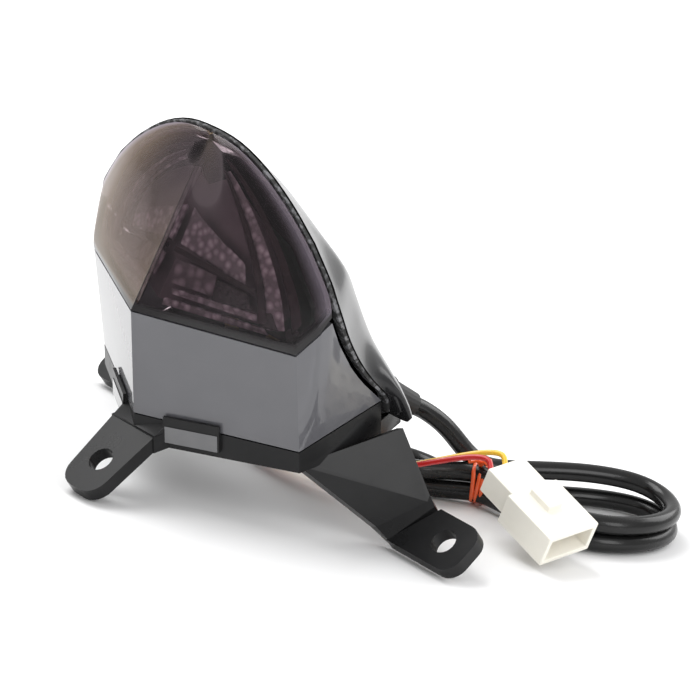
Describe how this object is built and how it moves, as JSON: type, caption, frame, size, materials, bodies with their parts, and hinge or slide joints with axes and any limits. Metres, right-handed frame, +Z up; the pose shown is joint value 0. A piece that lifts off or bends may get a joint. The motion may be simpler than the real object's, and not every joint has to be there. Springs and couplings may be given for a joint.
{
  "type": "motorcycle tail light",
  "caption": "Wedge-shaped motorcycle tail light: smoke shield lens over a clear skirt, black housing with three fixing tabs, and a tied cord with a connector.",
  "frame": {"origin": "centre of the light's own bounding box in plan, on the floor it stands on; the cord and connector are left out of that box", "axes": "+X to the light's right as the picture shows it, across its width; -Y the way its nose points; +Z up, with the light standing on its nose tab and both side tabs"},
  "size_m": [0.1829, 0.1806, 0.1153],
  "materials": {
    "smoke_lens": "smoke-tinted clear plastic lens, polished",
    "clear_lens": "clear plastic lens with fine flutes inside, polished",
    "gasket": "black foam seal, matt",
    "housing_black": "gloss black moulded plastic",
    "base_black": "satin to gloss black moulded plastic",
    "bezel_dark": "dark plated plastic",
    "optic_clear": "clear light bar with bubble texture",
    "board": "green circuit board",
    "led": "pale yellow LED dome",
    "screw_steel": "plated steel screw",
    "soft_rubber": "black moulded rubber",
    "cord_sleeve": "gloss black sleeve",
    "tie_orange": "orange-red plastic coated wire tie",
    "wire_red": "red insulation",
    "wire_yellow": "yellow insulation",
    "connector_ivory": "ivory moulded nylon",
    "terminal_brass": "tarnished brass"
  },
  "bodies": {
    "root": {"base_screw_1": "screw_steel", "base_screw_2": "screw_steel", "base_screw_3": "screw_steel", "base_screw_4": "screw_steel", "board_screw_left": "screw_steel", "board_screw_right": "screw_steel", "connector_housing": "connector_ivory", "cord_grommet": "soft_rubber", "cord_hank": "cord_sleeve", "cord_lead": "cord_sleeve", "cord_tail": "cord_sleeve", "inner_bezel": "bezel_dark", "led_1": "led", "led_2": "led", "led_3": "led", "led_4": "led", "led_5": "led", "led_6": "led", "led_7": "led", "led_8": "led", "led_9": "led", "led_board": "board", "lens_gasket": "gasket", "light_bar_inner_left": "optic_clear", "light_bar_inner_right": "optic_clear", "light_bar_outer_left": "optic_clear", "light_bar_outer_right": "optic_clear", "mounting_base": "base_black", "plate_led_1": "led", "plate_led_2": "led", "plate_led_3": "led", "plate_light_board": "board", "rear_housing": "housing_black", "shield_lens": "smoke_lens", "skirt_lens": "clear_lens", "terminal_left": "terminal_brass", "terminal_right": "terminal_brass", "twist_tie": "tie_orange", "vent_plug": "soft_rubber", "wire_red": "wire_red", "wire_yellow": "wire_yellow"}
  },
  "joints": []
}
